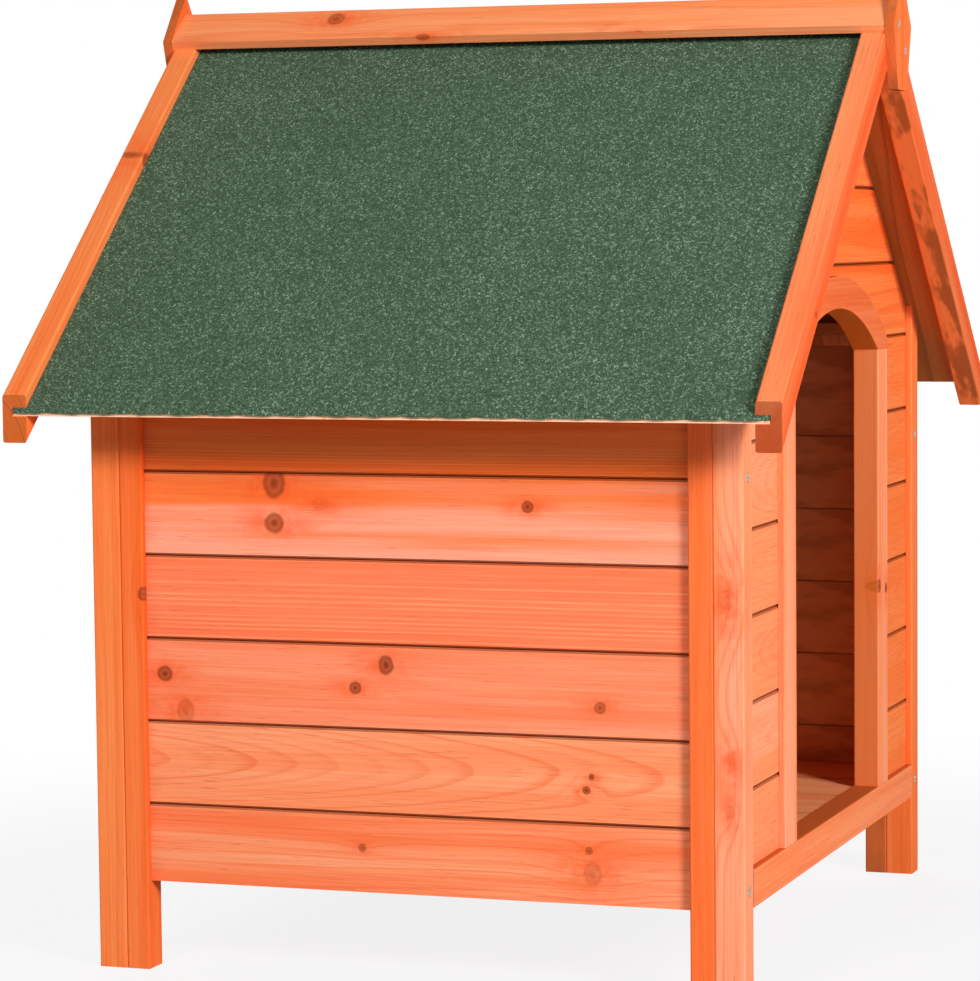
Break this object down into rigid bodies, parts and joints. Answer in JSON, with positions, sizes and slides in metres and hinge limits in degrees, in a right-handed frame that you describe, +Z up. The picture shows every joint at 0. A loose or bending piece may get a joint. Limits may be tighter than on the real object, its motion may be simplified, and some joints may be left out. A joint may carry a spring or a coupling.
{
  "type": "dog house",
  "caption": "Raised wooden dog house: tongue-and-groove walls between square legs, an open arched doorway, a slatted floor and a pitched roof of felted sheets in grooved rails.",
  "frame": {"origin": "on the ground under the middle of the house", "axes": "+Z up; the open doorway faces -Y; +X is to the right of someone facing the doorway"},
  "size_m": [0.7224, 0.667, 0.8168],
  "materials": {
    "stained_pine": "softwood under a thin orange-honey stain, grain and knots showing",
    "roof_plywood": "thin stained plywood, pale at its sawn edge",
    "roof_felt": "bitumen felt with dark green mineral granules, matt",
    "screw_steel": "zinc-plated cross-recess screws, dull"
  },
  "bodies": {
    "root": {"door_arch": "stained_pine", "door_batten_left": "stained_pine", "door_batten_right": "stained_pine", "floor_bearers": "stained_pine", "floor_boards": "stained_pine", "front_gable_board_1": "stained_pine", "front_gable_board_2": "stained_pine", "front_gable_board_3": "stained_pine", "front_gable_board_4": "stained_pine", "front_left_boards": "stained_pine", "front_leg_left": "stained_pine", "front_leg_right": "stained_pine", "front_right_boards": "stained_pine", "front_sill": "stained_pine", "leg_screws": "screw_steel", "rear_board_1": "stained_pine", "rear_board_10": "stained_pine", "rear_board_2": "stained_pine", "rear_board_3": "stained_pine", "rear_board_4": "stained_pine", "rear_board_5": "stained_pine", "rear_board_6": "stained_pine", "rear_board_7": "stained_pine", "rear_board_8": "stained_pine", "rear_board_9": "stained_pine", "rear_leg_left": "stained_pine", "rear_leg_right": "stained_pine", "rear_sill": "stained_pine", "ridge_cap": "stained_pine", "ridge_plate_front": "stained_pine", "ridge_plate_rear": "stained_pine", "ridge_plate_screws": "screw_steel", "roof_felt_left": "roof_felt", "roof_felt_right": "roof_felt", "roof_rail_front_left": "stained_pine", "roof_rail_front_right": "stained_pine", "roof_rail_rear_left": "stained_pine", "roof_rail_rear_right": "stained_pine", "roof_sheet_left": "roof_plywood", "roof_sheet_right": "roof_plywood", "side_left_board_1": "stained_pine", "side_left_board_2": "stained_pine", "side_left_board_3": "stained_pine", "side_left_board_4": "stained_pine", "side_left_board_5": "stained_pine", "side_left_board_6": "stained_pine", "side_left_leg_front": "stained_pine", "side_left_leg_rear": "stained_pine", "side_left_top_rail": "stained_pine", "side_right_board_1": "stained_pine", "side_right_board_2": "stained_pine", "side_right_board_3": "stained_pine", "side_right_board_4": "stained_pine", "side_right_board_5": "stained_pine", "side_right_board_6": "stained_pine", "side_right_leg_front": "stained_pine", "side_right_leg_rear": "stained_pine", "side_right_top_rail": "stained_pine"}
  },
  "joints": []
}
